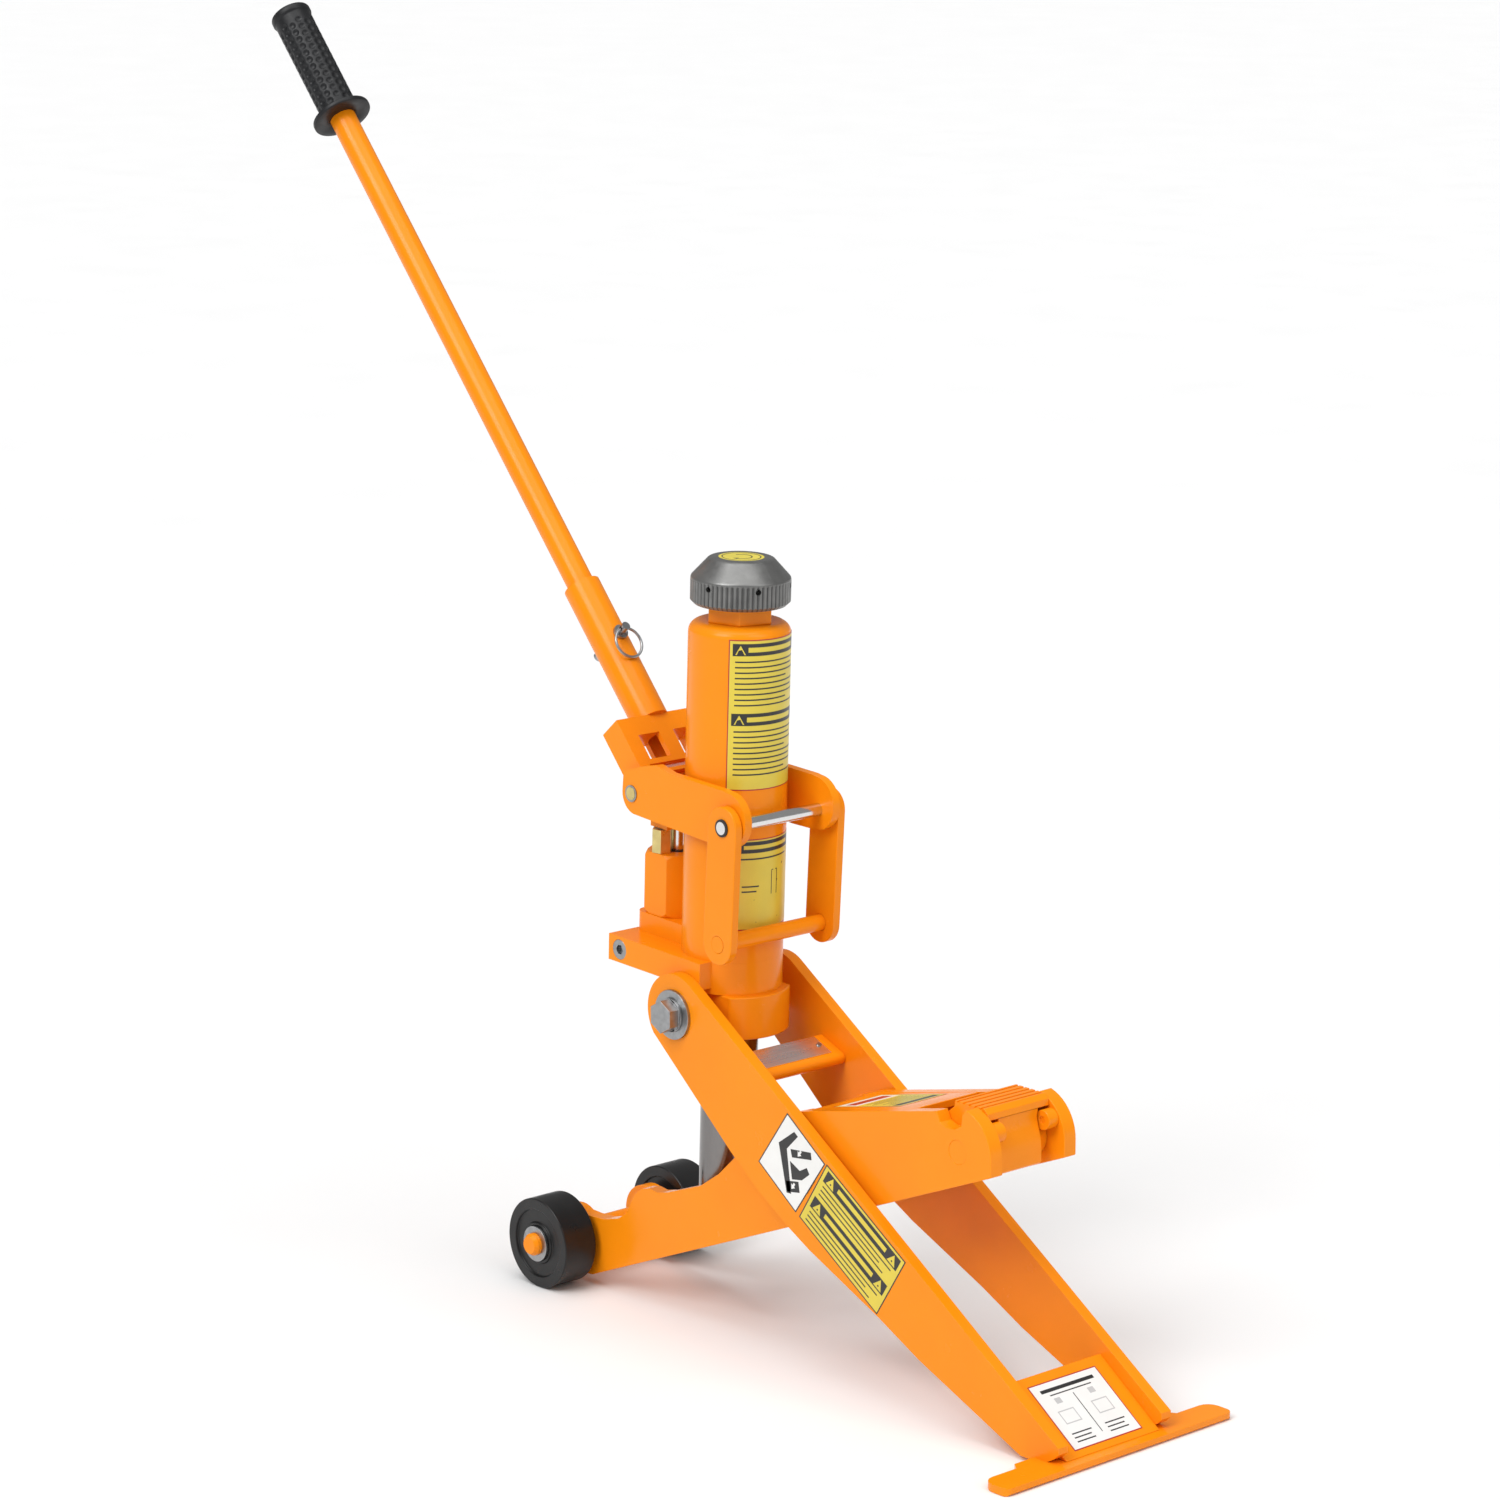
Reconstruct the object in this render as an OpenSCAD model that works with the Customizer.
// Scissor-type hydraulic lifting jack with two-plate frame, tilting hydraulic unit and lever pump.
// Millimetres, +Z up.  Origin: middle of the foot sole on the floor.  +X from the wheels to the foot.
// The lift arm turns about the crossing shaft.  The hydraulic unit turns half as far about its trunnions.
// The ram turns half as far about its seat, so unit and ram stay in line at every height.

/* [Scissor frame] */
// Distance from the foot sole to the crossing shaft, along X
cross_x = 270; // [240:1:300]
// Height of the crossing shaft above the floor
cross_z = 158; // [140:1:176]
// Distance from the foot sole to the trunnions, along X
trunnion_x = 417; // [390:1:440]
// Height of the trunnions above the floor
trunnion_z = 252; // [236:1:268]
// Thickness of each frame plate
frame_t = 10; // [8:0.5:12]
// Half length of the foot bar
foot_half = 117; // [100:1:130]

/* [Lift arm] */
// Thickness of each arm plate
arm_t = 12; // [8:0.5:12]
// Wheel diameter
wheel_d = 73; // [66:1:80]
// Wheel width
wheel_w = 31; // [24:1:34]
// Width of the lift pad
pad_w = 62.4; // [54:0.4:62.4]
// Number of grip grooves in the lift pad
pad_grooves = 5; // [3:1:7]

/* [Hydraulic unit] */
// Backward lean of the hydraulic unit, degrees
unit_tilt = 2.1; // [0:0.1:4]
// Outside diameter of the oil reservoir
reservoir_d = 79; // [72:1:79]
// Height of the reservoir top above the trunnions
reservoir_top = 303; // [290:1:320]
// Ram diameter
ram_d = 44; // [36:1:46]
// Pump plunger diameter
plunger_d = 12.5; // [10:0.5:14]
// Release knob diameter
knob_d = 77; // [64:1:84]

/* [Handle] */
// Lean of the handle above the horizontal, degrees
handle_lean = 48.95; // [45:0.05:60]
// Handle tube diameter
handle_d = 22; // [20:0.5:23]
// Distance from the yoke to the top of the grip
handle_l = 705; // [500:5:760]
// Grip diameter
grip_d = 32; // [30:0.5:36]

/* [Hidden] */
orange = [0.95, 0.53, 0.10];
steel = [0.62, 0.63, 0.65];
chrome = [0.80, 0.81, 0.83];
zinc = [0.78, 0.66, 0.30];
black = [0.08, 0.08, 0.09];
seal = [0.12, 0.12, 0.13];
yellow = [0.90, 0.80, 0.20];
frame_in = 48.2;
frame_out = frame_in + frame_t;
arm_out = 43.6;
arm_in = arm_out - arm_t;
ox = -cross_x;
oz = cross_z;
tx = -trunnion_x;
tz = trunnion_z;
axle_x = -561;
axle_z = wheel_d / 2;
arm_lean = 22.5;
head_x = -118.5;
head_z = 207.5;
head_r = 34.5;
foot_t = 6;
knob_flutes = 60;
pin_h = 73;
pad_end = 11;
ring_hang = 11;
// ram seat: mirror image of the trunnion about the line through the crossing shaft square to the unit
seat_c = 2 * ((tx - ox) * sin(unit_tilt) + (tz - oz) * cos(unit_tilt));
unit_r = reservoir_d / 2;
bore_r = 27;
rod_u = 48.5;
rod_w = 157.7;
link_w = 65.8;
pump_u = -67;
pin_w = 160;
pump_w0 = 58;
pump_w1 = 108;
plug_turn = 120;
link_in = 49;
link_t = 7;
yoke_in = 41.4;
yoke_out = 48.4;
sleeve_d = 30;
hx = -512.5;
hz = 460;
wheel_y = 49.5;

// cylinder along Y from y0 to y1, centred on x, z
module ycyl(x, z, r, y0, y1, sides = 64) {
    translate([x, y0, z]) rotate([-90, 0, 0]) cylinder(r = r, h = y1 - y0, $fn = sides);
}
// outline given in X and Z, drawn as a plate from y0 to y1
module xz_plate(pts, y0, y1) {
    translate([0, y1, 0]) rotate([90, 0, 0]) linear_extrude(y1 - y0) polygon(pts);
}
// places children drawn in the unit's own frame: X across, Z along its axis, origin on the trunnion line
module unit() {
    translate([tx, 0, tz]) rotate([0, unit_tilt, 0]) children();
}
// places children drawn in the handle's own frame: Z along the handle, origin where the sleeve meets the yoke
module handle() {
    translate([hx, 0, hz]) rotate([0, handle_lean - 90, 0]) children();
}
function arc(cx, cz, r, a0, a1, n) = [for (i = [0:n]) let (a = a0 + (a1 - a0) * i / n)
    [cx + r * cos(a), cz + r * sin(a)]];
function mirrored(pts) = [for (i = [len(pts) - 1:-1:0]) [pts[i][0], -pts[i][1]]];
function on_unit(u, w) = [tx + u * cos(unit_tilt) + w * sin(unit_tilt),
    tz - u * sin(unit_tilt) + w * cos(unit_tilt)];

// ---- scissor frame ----
function frame_outline() = concat(
    arc(tx, tz, 31.5, 57, 219, 24),
    [[-351, 157], [-320, 134], [-288, 114.5], [-262, 101], [-185, 67.5], [-142, 46.5], [-36, 3], [-14, 3]],
    [[-2, 10], [2, 14], [2, 19]]);
module frame_plate(y0, y1) {
    difference() {
        xz_plate(frame_outline(), y0, y1);
        ycyl(tx, tz, 8.3, y0 - 1, y1 + 1);
        ycyl(ox, oz, 15, y0 - 1, y1 + 1);
    }
}
module frame_plate_near() {
    color(orange) frame_plate(-frame_out, -frame_in);
}
module frame_plate_far() {
    color(orange) frame_plate(frame_in, frame_out);
}
module foot_web() {
    color(orange) xz_plate([[-60, 48.5], [1, foot_t + 0.1], [-13, foot_t + 0.1], [-65, 42]],
        -frame_in, frame_in);
}
// half of the foot bar's plan, from the rear edge round the end to the front edge
function foot_outline() = concat([[-22, 78], [-15, 83]], arc(-5, foot_half - 10, 10, 180, 90, 4),
    arc(4, foot_half - 6, 6, 90, 0, 4));
module foot_bar() {
    color(orange) difference() {
        linear_extrude(foot_t) polygon(concat(foot_outline(), mirrored(foot_outline())));
        for (s = [-1, 1])
            xz_plate([[-37, 2.9], [-14, 2.9], [-2, 9.9], [-2, 20], [-37, 20]],
                s * (frame_in + frame_out) / 2 - frame_t / 2 - 0.001,
                s * (frame_in + frame_out) / 2 + frame_t / 2 + 0.001);
        xz_plate([[8, -0.1], [10.1, -0.1], [10.1, 2]], -foot_half - 1, foot_half + 1);
    }
}
module frame_tie() {
    color(orange) translate([-352.5, 0, 217.5]) rotate([0, 22, 0]) {
        translate([-15, -frame_in, -5]) cube([26, 2 * frame_in, 10]);
        translate([11, -frame_in, 0]) rotate([-90, 0, 0]) cylinder(r = 5, h = 2 * frame_in, $fn = 32);
    }
}
module rating_plate() {
    color(steel) translate([-352.5, 0, 217.5]) rotate([0, 22, 0])
        translate([-13.5, -38, 5.02]) cube([22, 76, 0.8]);
}
module rating_rivets() {
    color(steel) translate([-352.5, 0, 217.5]) rotate([0, 22, 0])
        for (s = [-1, 1]) translate([-2.5, s * 34, 5.85]) cylinder(r = 2, h = 1, $fn = 16);
}
module crossing_shaft() {
    color(orange) ycyl(ox, oz, 14.95, -frame_out + 0.3, frame_out - 0.3);
}
module trunnion_bolts() {
    color(steel) for (s = [0, 1]) mirror([0, s, 0]) {
        ycyl(tx, tz, 8, -frame_out - 3, -24);
        ycyl(tx, tz, 13.5, -frame_out - 5, -frame_out - 3);
        translate([tx, -frame_out - 5, tz]) rotate([90, 0, 0]) rotate([0, 0, 30])
            cylinder(r = 13, h = 9, $fn = 6);
    }
}
module trunnion_washers() {
    color(steel) for (s = [0, 1]) mirror([0, s, 0]) difference() {
        ycyl(tx, tz, 19.5, -frame_out - 2.95, -frame_out - 0.02);
        ycyl(tx, tz, 8.05, -frame_out - 4, -frame_out + 1);
    }
}

// ---- lift arm ----
function arm_outline() = concat(
    arc(axle_x, axle_z, 24, 60, 270, 20),
    [[-546, 7], [-537, 8], [-96, 191], [-84, 196]],
    arc(head_x, head_z, head_r, 0, 76, 10),
    [[-114, 237], [-115, 228], [-122, 224], [-130, 223.5], [-137, 226], [-141, 233.5]],
    [[-287, 200.5], [-307, 193.5], [-334, 174], [-366, 144], [-382, 129], [-404, 114], [-444, 99], [-456, 96]],
    [[-465, 97], [-474, 95], [-483, 89], [-489, 79], [-494, 70], [-504, 63], [-522, 58], [-538, 57]]);
module arm_plate(y0, y1) {
    difference() {
        xz_plate(arm_outline(), y0, y1);
        ycyl(axle_x, axle_z, 9.05, y0 - 1, y1 + 1);
        ycyl(ox, oz, 21.05, y0 - 1, y1 + 1);
        ycyl(head_x, head_z, 9.05, y0 - 1, y1 + 1);
    }
}
module arm_plate_near() {
    color(orange) arm_plate(-arm_out, -arm_in);
}
module arm_plate_far() {
    color(orange) arm_plate(arm_in, arm_out);
}
module arm_top_web() {
    color(orange) xz_plate([[-294, 192], [-287, 200], [-174, 226], [-174, 220], [-286, 194]],
        -arm_in, arm_in);
}
module arm_bottom_web() {
    color(orange) xz_plate([[-245, 130], [-165, 163.2], [-165, 169.2], [-245, 136]], -arm_in, arm_in);
}
module crossing_tube() {
    color(orange) difference() {
        ycyl(ox, oz, 21, -frame_in + 0.4, frame_in - 0.4);
        ycyl(ox, oz, 15.05, -frame_in, frame_in);
    }
}
module wheel_axle() {
    color(orange) {
        ycyl(axle_x, axle_z, 9, -86, 86);
        for (s = [0, 1]) mirror([0, s, 0]) translate([axle_x, -89, axle_z]) rotate([-90, 0, 0])
            cylinder(r1 = 7, r2 = 9, h = 3, $fn = 48);
    }
}
module axle_washers() {
    color(steel) for (s = [0, 1]) mirror([0, s, 0]) difference() {
        ycyl(axle_x, axle_z, 14.5, -83, -80.8);
        ycyl(axle_x, axle_z, 9.05, -84, -80);
    }
}
module ram_seat() {
    p = on_unit(0, -seat_c);
    color(orange) difference() {
        ycyl(p[0], p[1], 17.8, -arm_in, arm_in);
        translate([p[0], 0, p[1]]) sphere(r = 14.3, $fn = 96);
        unit() translate([-30, -arm_in - 1, -seat_c - 3]) cube([60, 2 * arm_in + 2, 40]);
    }
}
module pad_pin() {
    color(orange) ycyl(head_x, head_z, 9, -arm_out + 0.4, arm_out - 0.4);
}
module wheel(y0, sides = 96) {
    difference() {
        ycyl(axle_x, axle_z, wheel_d / 2, y0, y0 + wheel_w, sides);
        ycyl(axle_x, axle_z, 14.05, y0 - 1, y0 + wheel_w + 1);
        for (y = [y0 - 1, y0 + wheel_w - 2]) difference() {
            ycyl(axle_x, axle_z, wheel_d / 2 - 9, y, y + 3, sides);
            ycyl(axle_x, axle_z, 17, y - 1, y + 4);
        }
    }
}
module wheel_near() {
    color(black) wheel(-wheel_y - wheel_w);
}
module wheel_far() {
    color(black) wheel(wheel_y);
}
module bush() {
    difference() {
        ycyl(axle_x, axle_z, 14, arm_out + 0.3, wheel_y + wheel_w);
        ycyl(axle_x, axle_z, 9.08, arm_out - 1, wheel_y + wheel_w + 1);
    }
}
module bush_near() {
    color(steel) mirror([0, 1, 0]) bush();
}
module bush_far() {
    color(steel) bush();
}
module lift_pad() {
    y = pad_w / 2;
    color(orange) difference() {
        union() {
            xz_plate(concat([[-135, 236], [-134, 241], [-104, 241], [-100.5, 237.5], [-100, 232.5],
                [-109, 231.5], [-112, 226]], arc(head_x, head_z, 17, 60, -80, 10),
                [[-119, 184], [-132, 182], [-146, 190], [-152, 204], [-150, 220], [-144, 229]]), -y, y);
            xz_plate([[-112, 240.9], [-104.5, 240.9], [-100.6, 237.4], [-100.2, 232], [-101.3, 226], [-99.5, 219],
                [-97, 211], [-96, 203], [-96, 192.5], [-98, 190.8], [-118, 190]], -y + pad_end, y - pad_end);
        }
        ycyl(head_x, head_z, 9.08, -y - 1, y + 1);
        for (i = [0:pad_grooves - 1]) translate([-131 + i * 24 / (pad_grooves - 1) - 1, -y - 1, 239.4])
            cube([2, pad_w + 2, 3]);
    }
}
module pad_stops() {
    color(orange) for (s = [0, 1]) mirror([0, s, 0]) difference() {
        ycyl(-97.5, 223.5, 7.5, arm_in - pad_end + 1, arm_in - 0.02, 48);
        ycyl(-97.5, 223.5, 3, arm_in - pad_end, arm_in - pad_end + 2.5, 6);
    }
}

// ---- hydraulic unit ----
module trunnion_cup() {
    color(orange) unit() difference() {
        union() {
            intersection() {
                translate([0, 0, -18]) cylinder(r = unit_r + 6.3, h = 34, $fn = 96);
                translate([-60, -arm_in + 0.4, -40]) cube([120, 2 * arm_in - 0.8, 80]);
            }
            for (s = [0, 1]) mirror([0, s, 0]) ycyl(0, 0, 10.5, -frame_in + 0.3, -arm_in + 0.5);
        }
        translate([0, 0, -40]) cylinder(r = ram_d / 2 + 0.05, h = 60, $fn = 96);
        translate([0, 0, -19]) cylinder(r = ram_d / 2 + 4, h = 7, $fn = 64);
        for (s = [0, 1]) mirror([0, s, 0]) ycyl(0, 0, 8.05, -frame_in - 1, -23.5);
    }
}
module ram_wiper() {
    color(seal) unit() difference() {
        translate([0, 0, -18]) cylinder(r = ram_d / 2 + 3.9, h = 5.9, $fn = 64);
        translate([0, 0, -30]) cylinder(r = ram_d / 2 + 0.06, h = 20, $fn = 96);
    }
}
module base_block() {
    color(orange) unit() difference() {
        union() {
            translate([0, 0, 16.02]) cylinder(r = unit_r, h = 25.9, $fn = 96);
            translate([-92, -47.8, 21]) cube([109, 48, 21]);
            translate([-92, 0, 21]) cube([60, 34, 21]);
            translate([-80, -24, 42]) cube([49, 48, 15.9]);
            for (s = [-1, 1]) translate([-80, s * 14, 42]) cylinder(r = 10, h = 15.9, $fn = 32);
            translate([-90, -14, 42]) cube([20, 28, 15.9]);
        }
        translate([0, 0, 10]) cylinder(r = ram_d / 2 + 1, h = 12.1, $fn = 96);
        translate([0, 0, 22]) cylinder(r = 33.05, h = 40, $fn = 96);
        translate([0, 0, 41.92]) cylinder(r = unit_r + 0.04, h = 20, $fn = 96);
        translate([-79, -49, 31.5]) rotate([-90, 0, 0]) cylinder(r = 8.05, h = 13.2, $fn = 48);
        translate([pump_u, 0, 30]) cylinder(r = plunger_d / 2 + 0.08, h = 40, $fn = 48);
    }
}
module reservoir() {
    color(orange) unit() difference() {
        rotate_extrude($fn = 96) polygon(concat([[0, 41.96], [unit_r, 41.96]],
            arc(unit_r - 9, reservoir_top - 9, 9, 0, 90, 8), [[0, reservoir_top]]));
        translate([0, 0, 41]) cylinder(r = unit_r - 4, h = reservoir_top - 49, $fn = 96);
        translate([0, 0, 200]) cylinder(r = 14.05, h = 120, $fn = 64);
        rotate([0, 0, plug_turn]) translate([12, 0, reservoir_top - 60]) rotate([0, 90, 0])
            cylinder(r = 5.05, h = 40, $fn = 32);
    }
}
module inner_cylinder() {
    color(steel) unit() difference() {
        translate([0, 0, 22.05]) cylinder(r = 33, h = reservoir_top - 33.1, $fn = 96);
        translate([0, 0, 30.05]) cylinder(r = bore_r, h = reservoir_top - 49, $fn = 96);
        translate([0, 0, 20]) cylinder(r = ram_d / 2 + 1, h = 30, $fn = 96);
        translate([0, 0, 200]) cylinder(r = 4, h = 120, $fn = 32);
    }
}
module top_nut() {
    color(orange) unit() difference() {
        union() {
            translate([0, 0, reservoir_top]) rotate([0, 0, 18]) cylinder(r = 27.5, h = 12, $fn = 6);
            translate([0, 0, reservoir_top - 8]) cylinder(r = 14, h = 8.1, $fn = 64);
        }
        translate([0, 0, reservoir_top - 10]) cylinder(r = 6.06, h = 40, $fn = 48);
    }
}
module filler_plug() {
    color(seal) unit() rotate([0, 0, plug_turn]) translate([unit_r - 6, 0, reservoir_top - 60])
        rotate([0, 90, 0]) {
            cylinder(r = 5, h = 6, $fn = 32);
            translate([0, 0, 6]) cylinder(r = 6.5, h = 2, $fn = 32);
        }
}
module pump_body() {
    color(orange) unit() translate([pump_u, 0, 0]) difference() {
        union() {
            intersection() {
                translate([0, 0, pump_w0]) cylinder(r = 26, h = pump_w1 - pump_w0, $fn = 6);
                translate([0, 0, pump_w0]) union() {
                    cylinder(r1 = 23.5, r2 = 26.5, h = 4, $fn = 64);
                    translate([0, 0, 4]) cylinder(r = 26.5, h = 42, $fn = 64);
                    translate([0, 0, 46]) cylinder(r1 = 26.5, r2 = 23, h = 4.5, $fn = 64);
                }
            }
        }
        translate([0, 0, 40]) cylinder(r = plunger_d / 2 + 0.08, h = 90, $fn = 48);
        translate([0, 0, pump_w1 - 6]) cylinder(r = 10.05, h = 8, $fn = 48);
        translate([-1, -15.5, pump_w1 - 8]) cylinder(r = 5.05, h = 10, $fn = 32);
    }
}
module pump_gland() {
    color(seal) unit() translate([pump_u, 0, pump_w1 - 5.9]) difference() {
        cylinder(r = 10, h = 5.9, $fn = 48);
        translate([0, 0, -1]) cylinder(r = plunger_d / 2 + 0.06, h = 10, $fn = 48);
    }
}
module relief_valve() {
    color(zinc) unit() translate([pump_u - 1, -15.5, pump_w1]) {
        translate([0, 0, -7.9]) cylinder(r = 5, h = 8, $fn = 32);
        translate([0, 0, 0.05]) rotate([0, 0, 12]) cylinder(r = 8.3, h = 19, $fn = 6);
    }
}
module gallery_plug() {
    color(steel) unit() translate([-79, -47.8, 31.5]) rotate([-90, 0, 0]) difference() {
        cylinder(r = 8, h = 11.9, $fn = 48);
        translate([0, 0, -1]) cylinder(r = 4, h = 6, $fn = 6);
    }
}
module lower_rod() {
    color(orange) unit() ycyl(unit_r + 6.55, link_w, 6.5, -link_in - link_t, link_in + link_t);
}

// ---- ram ----
module ram_rod() {
    color(chrome) unit() translate([0, 0, -seat_c + 14.05]) cylinder(r = ram_d / 2, h = 302, $fn = 96);
}
module ram_piston() {
    color(steel) unit() translate([0, 0, -seat_c + 316.1]) difference() {
        cylinder(r = bore_r - 0.4, h = 13, $fn = 96);
        translate([0, 0, 4]) difference() {
            cylinder(r = bore_r + 1, h = 5, $fn = 96);
            translate([0, 0, -1]) cylinder(r = bore_r - 3, h = 7, $fn = 96);
        }
    }
}
module piston_seal() {
    color(seal) unit() translate([0, 0, -seat_c + 320.15]) difference() {
        cylinder(r = bore_r - 0.06, h = 4.9, $fn = 96);
        translate([0, 0, -1]) cylinder(r = bore_r - 2.95, h = 7, $fn = 96);
    }
}
module ram_foot() {
    p = on_unit(0, -seat_c);
    color(steel) {
        translate([p[0], 0, p[1]]) sphere(r = 14, $fn = 96);
        unit() translate([0, 0, -seat_c + 8]) cylinder(r = 20, h = 6, $fn = 96);
    }
}

// ---- release valve ----
module release_spindle() {
    color(steel) unit() translate([0, 0, reservoir_top - 9.5]) cylinder(r = 6, h = 30, $fn = 48);
}
module release_knob() {
    h0 = reservoir_top + 13;
    r = knob_d / 2;
    color(steel) unit() difference() {
        translate([0, 0, h0]) rotate_extrude($fn = 120) polygon(concat([[0, 0], [r - 3, 0], [r, 3]],
            arc(r - 3.5, 19.5, 3.5, 0, 40, 4), arc(r - 16.5, 30, 6, 50, 90, 4), [[0, 36]]));
        for (i = [0:knob_flutes - 1]) rotate([0, 0, (i + 0.5) * 360 / knob_flutes])
            translate([r + 0.5, 0, h0 - 1]) cylinder(r = 1.3, h = 20, $fn = 16);
        for (i = [0:5]) rotate([0, 0, i * 60 + 39]) translate([r - 8, 0, h0 + 15.5])
            rotate([0, 90, 0]) cylinder(r = 2.3, h = 12, $fn = 24);
        translate([0, 0, h0 - 1]) cylinder(r = 6.02, h = 12, $fn = 48);
        translate([0, 0, h0 + 35.2]) cylinder(r = 17.55, h = 2, $fn = 64);
    }
}
module knob_disc() {
    color(yellow) unit() translate([0, 0, reservoir_top + 48.25]) cylinder(r = 17.5, h = 0.7, $fn = 64);
}

// ---- pump linkage ----
module link(y0) {
    color(orange) unit() difference() {
        hull() {
            ycyl(rod_u - 0.6, rod_w, 16, y0, y0 + link_t, 32);
            ycyl(unit_r + 5.95, link_w, 16, y0, y0 + link_t, 32);
        }
        ycyl(rod_u, rod_w, 5.02, y0 - 1, y0 + link_t + 1, 48);
        ycyl(unit_r + 6.55, link_w, 6.58, y0 - 1, y0 + link_t + 1, 48);
    }
}
module link_near() {
    link(-link_in - link_t);
}
module link_far() {
    link(link_in);
}
module fulcrum_rod() {
    color(chrome) unit() ycyl(rod_u, rod_w, 5, -link_in - link_t - 1.6, link_in + link_t + 1.6, 48);
}
module rod_rings() {
    color(seal) unit() for (s = [0, 1]) mirror([0, s, 0]) difference() {
        ycyl(rod_u, rod_w, 6.8, -link_in - link_t - 1.2, -link_in - link_t - 0.05, 32);
        ycyl(rod_u, rod_w, 5.01, -link_in - link_t - 3, -link_in - link_t + 1, 48);
    }
}
function arm_side() = concat(
    arc(rod_u - 4, rod_w + 4, 21.5, -60, 90, 14),
    [[40, 183.8], [-22, 184.5], [-38, 188], [-58, 183], [-77, 176], [-78, 160]],
    arc(-62, 160, 16, 180, 262, 8),
    [[20, 140.5], [44, 141]]);
module yoke() {
    color(orange) difference() {
        union() {
            unit() for (s = [0, 1]) mirror([0, s, 0]) xz_plate(arm_side(), -yoke_out, -yoke_in);
            handle() difference() {
                translate([-11, -yoke_in - 0.02, -40]) cube([22, 2 * yoke_in + 0.04, 40]);
                for (s = [0, 1]) mirror([0, s, 0]) translate([-12, -28, -38]) cube([24, 21, 22]);
            }
            handle() for (s = [0, 1]) mirror([0, s, 0]) translate([-11, -yoke_in, -52])
                cube([22, 8, 13]);
            handle() translate([4, -yoke_in, -51]) difference() {
                cube([7, 2 * yoke_in, 12]);
                translate([-1, 10, 3]) cube([10, 2 * yoke_in - 20, 5.5]);
            }
        }
        unit() ycyl(rod_u, rod_w, 5.06, -60, 60, 48);
        unit() ycyl(pump_u, pin_w, 5.02, -60, 60, 48);
        handle() translate([0, 0, -36]) cylinder(r = handle_d / 2 - 1.5, h = 40, $fn = 64);
    }
}
module handle_sleeve() {
    color(orange) handle() difference() {
        cylinder(r = sleeve_d / 2, h = 127, $fn = 64);
        translate([0, 0, 4]) cylinder(r = handle_d / 2 + 0.06, h = 130, $fn = 64);
        translate([0, 0, -1]) cylinder(r = handle_d / 2 - 1.5, h = 6, $fn = 64);
        translate([-30, 0, pin_h]) rotate([0, 90, 0]) cylinder(r = 4.06, h = 60, $fn = 32);
    }
}
module plunger_pin() {
    color(zinc) unit() {
        ycyl(pump_u, pin_w, 5, -yoke_out - 1.2, yoke_out + 1.2, 48);
    }
}
module pin_clips() {
    color(steel) unit() for (s = [0, 1]) mirror([0, s, 0]) difference() {
        ycyl(pump_u, pin_w, 6.6, -yoke_out - 0.9, -yoke_out - 0.05, 32);
        ycyl(pump_u, pin_w, 5.01, -yoke_out - 3, -yoke_out + 1, 48);
    }
}
module plunger_rod() {
    color(chrome) unit() translate([pump_u, 0, 62]) cylinder(r = plunger_d / 2, h = 68, $fn = 64);
}
module plunger_head() {
    color(orange) unit() difference() {
        translate([pump_u - 10, -20, pump_w1 + 20]) cube([20, 40, 39.5]);
        hull() for (d = [-1.3, 1.3]) ycyl(pump_u + d, pin_w, 5.4, -30, 30, 48);
        translate([pump_u, 0, pump_w1 + 10]) cylinder(r = plunger_d / 2 + 0.02, h = 12.05, $fn = 64);
    }
}

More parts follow.
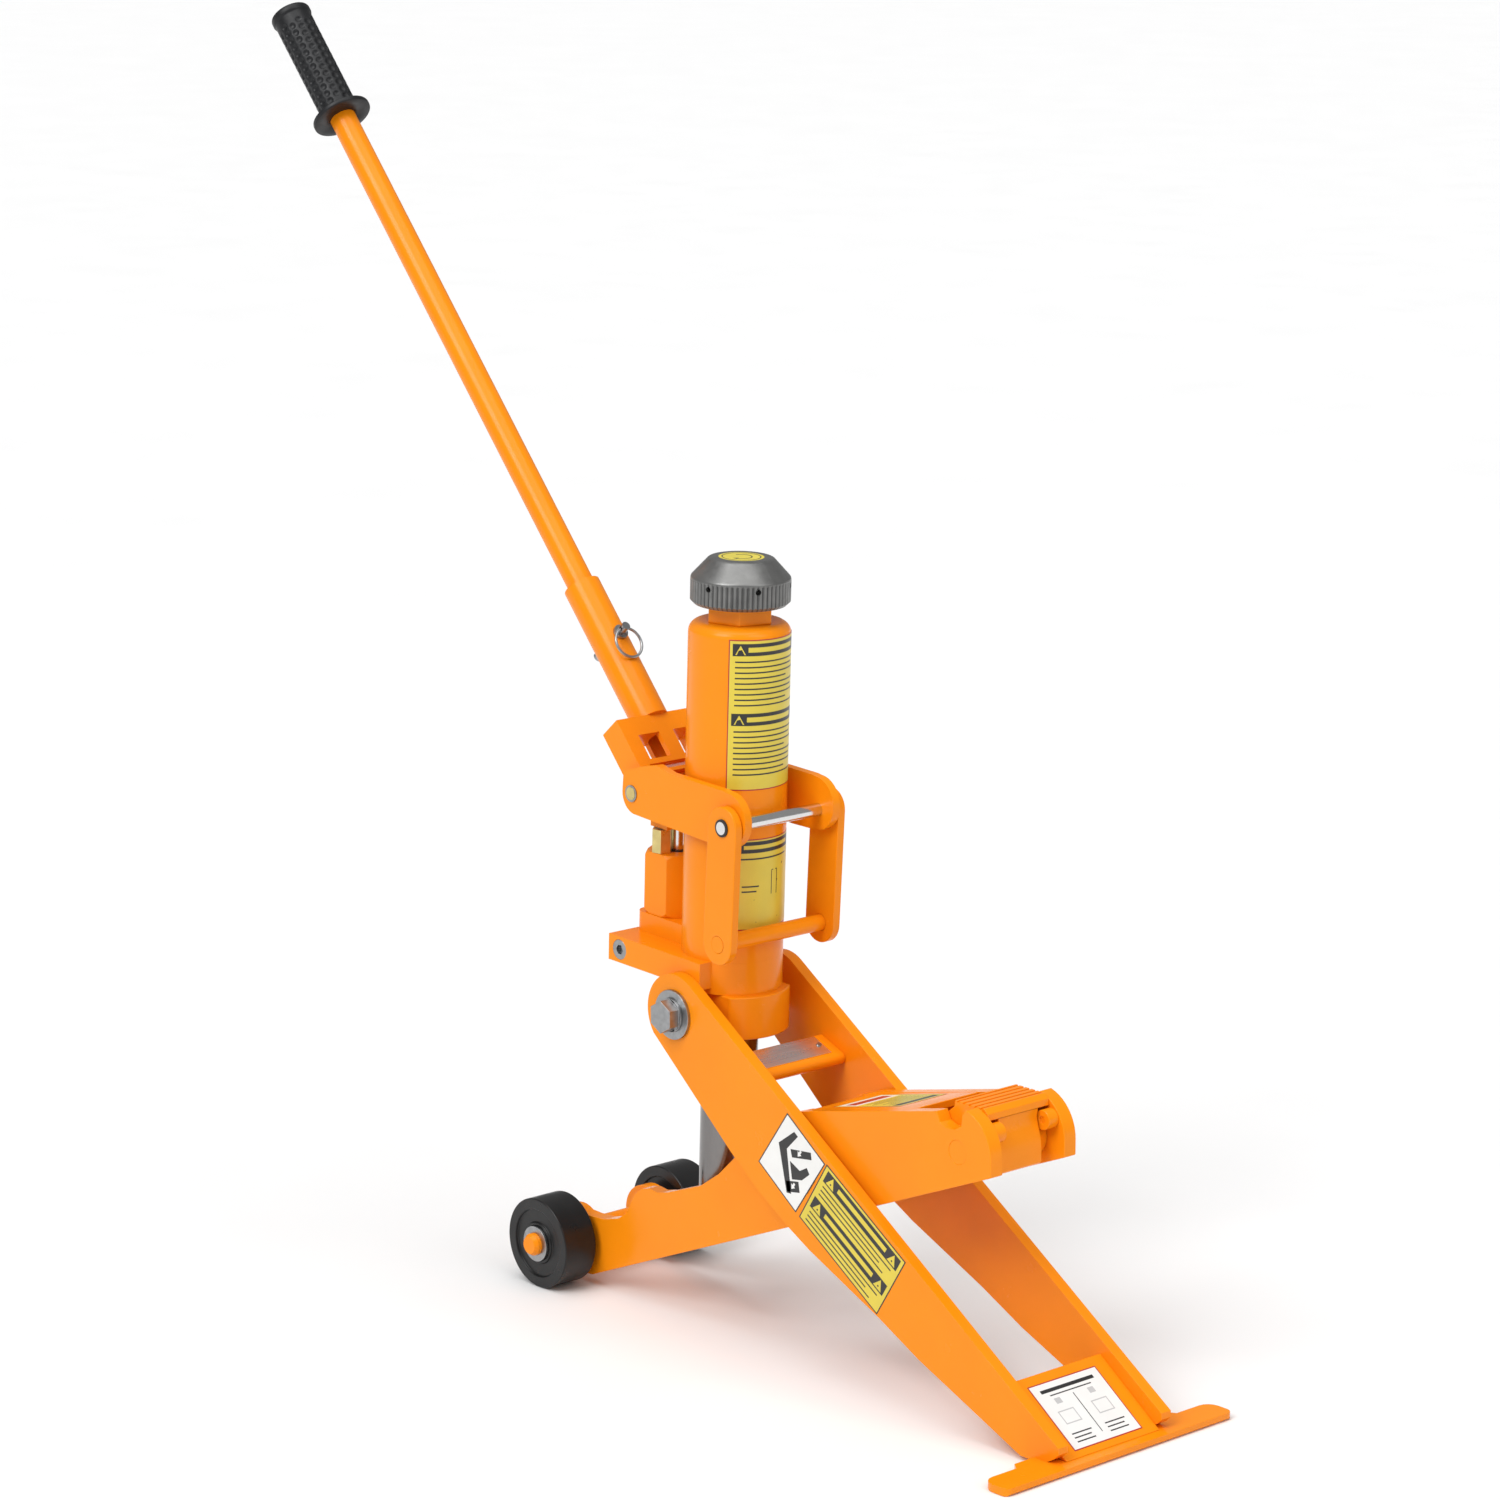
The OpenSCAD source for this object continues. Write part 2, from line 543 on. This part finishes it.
// ---- handle ----
module handle_tube() {
    color(orange) handle() difference() {
        translate([0, 0, 4.1]) cylinder(r = handle_d / 2, h = handle_l - 12, $fn = 64);
        translate([0, 0, 0]) cylinder(r = handle_d / 2 - 2.5, h = handle_l - 12, $fn = 64);
        translate([-30, 0, pin_h]) rotate([0, 90, 0]) cylinder(r = 4.06, h = 60, $fn = 32);
    }
}
module grip() {
    g0 = handle_l - 109;
    color(black) handle() difference() {
        union() {
            translate([0, 0, g0]) cylinder(r = grip_d / 2 + 9, h = 4, $fn = 64);
            translate([0, 0, g0 + 3]) cylinder(r = grip_d / 2, h = 104, $fn = 64);
            translate([0, 0, g0 + 103]) cylinder(r = grip_d / 2 + 1.2, h = 6, $fn = 64);
        }
        translate([0, 0, g0 - 1]) cylinder(r = handle_d / 2 + 0.04, h = 102.2, $fn = 64);
    }
}
module lock_pin() {
    color(steel) handle() translate([0, 0, pin_h]) rotate([0, 90, 0]) difference() {
        union() {
            translate([0, 0, -21]) cylinder(r = 4, h = 36.5, $fn = 32);
            translate([0, 0, 15.1]) cylinder(r = 6, h = 2.5, $fn = 32);
            translate([0, 0, 17.5]) cylinder(r = 3.5, h = 8, $fn = 32);
        }
        translate([0, 8, 21.5]) rotate([90, 0, 0]) cylinder(r = 2, h = 16, $fn = 24);
    }
}
module lock_ring() {
    color(steel) handle() translate([21.5, 0, pin_h]) rotate([0, ring_hang, 0]) translate([0, 0, -12.2])
        rotate([0, 90, 0]) rotate_extrude($fn = 64) translate([12.2, 0]) circle(r = 1.1, $fn = 16);
}

frame_plate_near();
frame_plate_far();
foot_web();
foot_bar();
frame_tie();
rating_plate();
rating_rivets();
crossing_shaft();
trunnion_bolts();
trunnion_washers();
arm_plate_near();
arm_plate_far();
arm_top_web();
arm_bottom_web();
crossing_tube();
wheel_axle();
axle_washers();
ram_seat();
pad_pin();
wheel_near();
wheel_far();
bush_near();
bush_far();
lift_pad();
pad_stops();
trunnion_cup();
ram_wiper();
base_block();
reservoir();
inner_cylinder();
top_nut();
filler_plug();
pump_body();
pump_gland();
relief_valve();
gallery_plug();
lower_rod();
ram_rod();
ram_piston();
piston_seal();
ram_foot();
release_spindle();
release_knob();
knob_disc();
link_near();
link_far();
fulcrum_rod();
rod_rings();
yoke();
handle_sleeve();
plunger_pin();
pin_clips();
plunger_rod();
plunger_head();
handle_tube();
grip();
lock_pin();
lock_ring();
